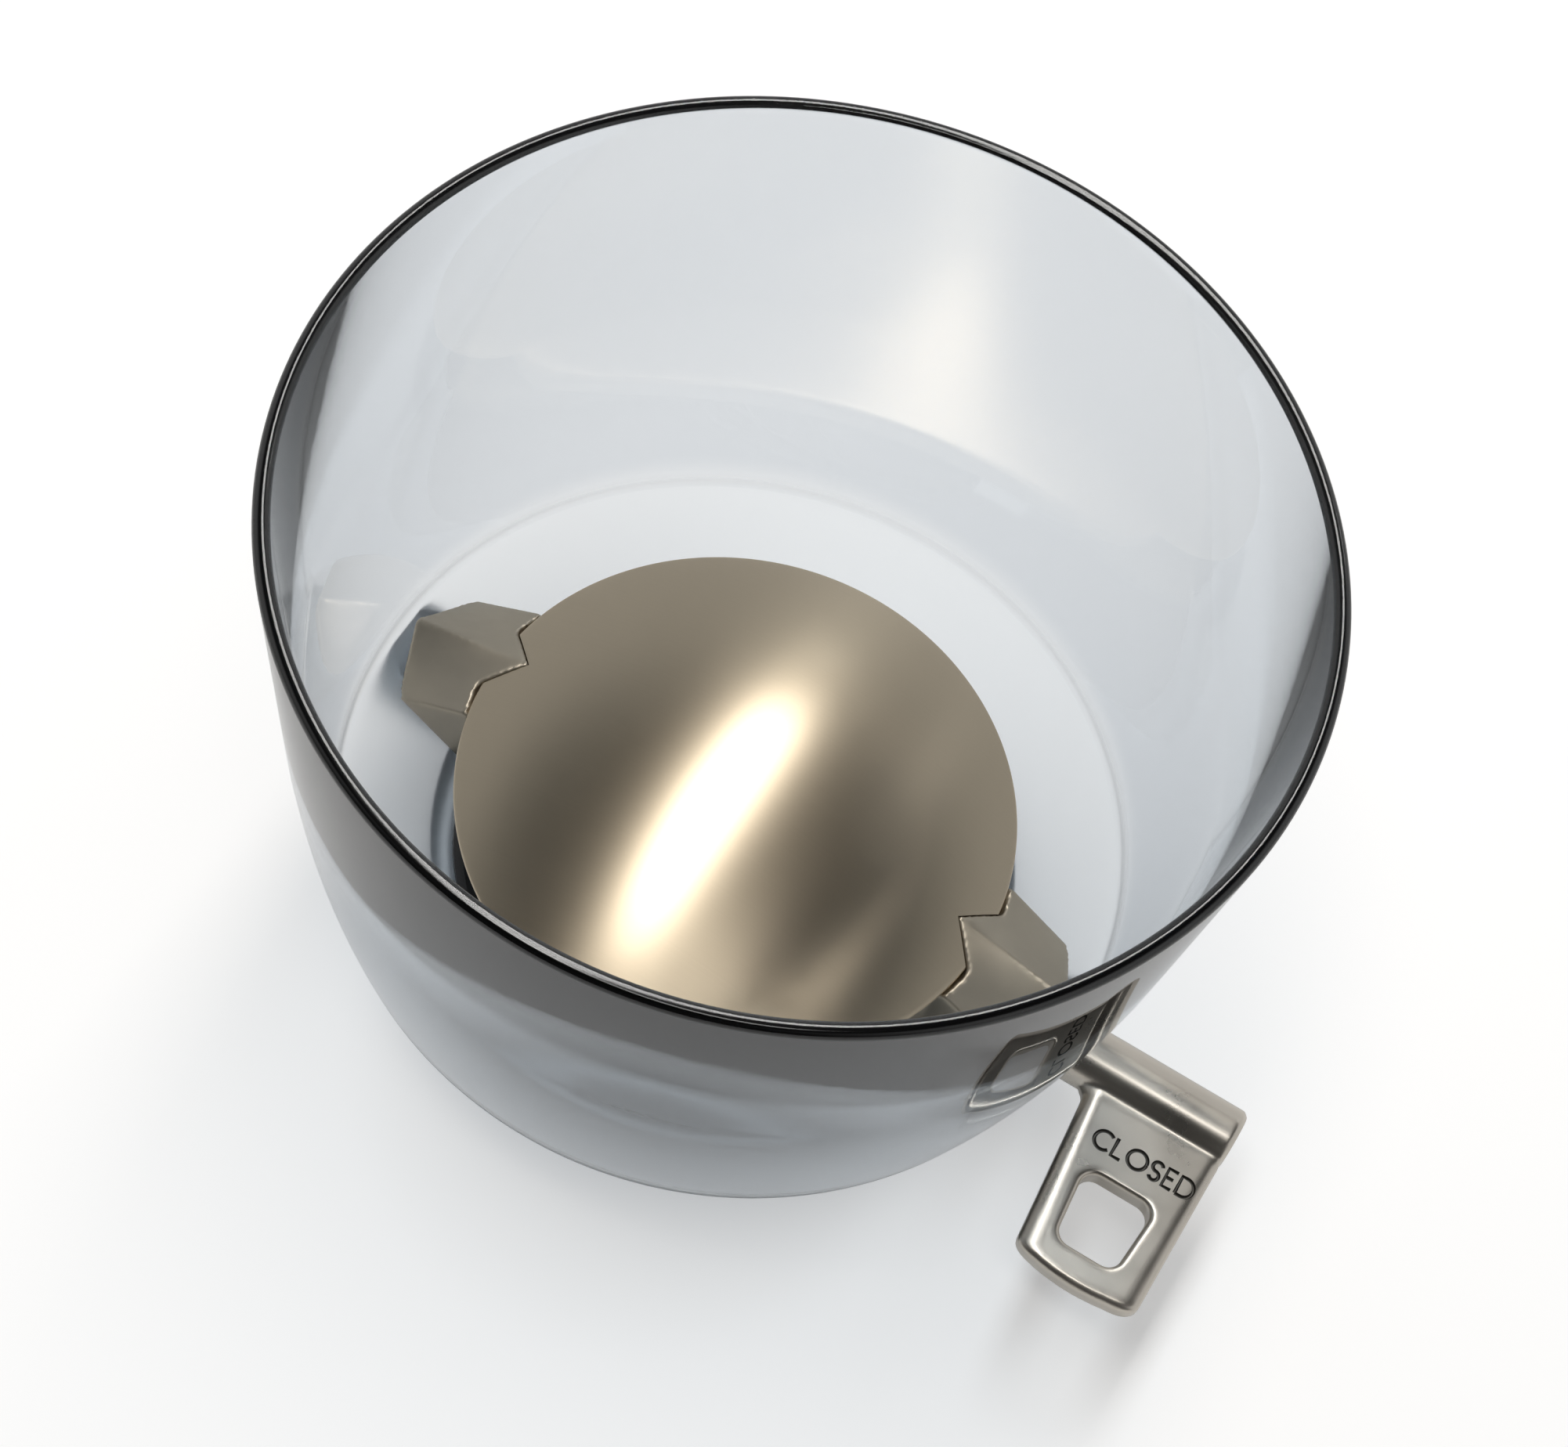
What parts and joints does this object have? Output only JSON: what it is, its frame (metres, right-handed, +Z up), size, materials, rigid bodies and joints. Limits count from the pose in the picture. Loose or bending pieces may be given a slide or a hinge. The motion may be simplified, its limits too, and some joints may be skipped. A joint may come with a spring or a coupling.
{
  "type": "coffee grinder bean hopper",
  "caption": "Round tinted clear bean hopper with a metal dome over its outlet and a quarter-turn side lever that shuts the throat.",
  "frame": {"origin": "on the bowl's axis at the underside of the neck's gasket, on the surface that the hopper stands on", "axes": "+Z up along the bowl's axis, +X along the shaft towards the lever, +Y away from the closed lever's plate"},
  "size_m": [0.1456, 0.1298, 0.101],
  "materials": {
    "tinted_clear": "clear moulding with a light blue-grey smoke tint, glossy",
    "dark_plastic": "fine matt moulding",
    "rubber": "matt",
    "cast_metal": "warm grey satin casting",
    "brushed_metal": "warm grey, fine straight brushing along the shaft",
    "steel": "plain bright",
    "bearing_plastic": "natural smooth",
    "lever_metal": "satin nickel on a casting, rounded edges"
  },
  "bodies": {
    "hopper": {"bowl": "tinted_clear", "valve_body": "dark_plastic", "neck_gasket": "rubber", "bridge": "cast_metal", "dome": "brushed_metal", "dome_nuts": "steel", "clamp_screws": "steel", "outer_bush": "bearing_plastic", "inner_bush": "bearing_plastic", "shaft_seal": "rubber", "thrust_washer": "bearing_plastic", "shutter_seal": "rubber", "detent_ball": "steel", "detent_spring": "steel", "detent_screw": "steel"},
    "shutoff": {"lever": "lever_metal", "lever_grub_screw": "steel", "shaft": "steel", "retaining_clip": "steel", "shutter": "steel", "shutter_pins": "steel"}
  },
  "joints": [
    {"name": "lever_turn", "type": "hinge", "parent": "hopper", "child": "shutoff", "pos_m": [0, 0, 0.018], "axis": [-1, 0, 0], "range_deg": [0, 90]}
  ]
}
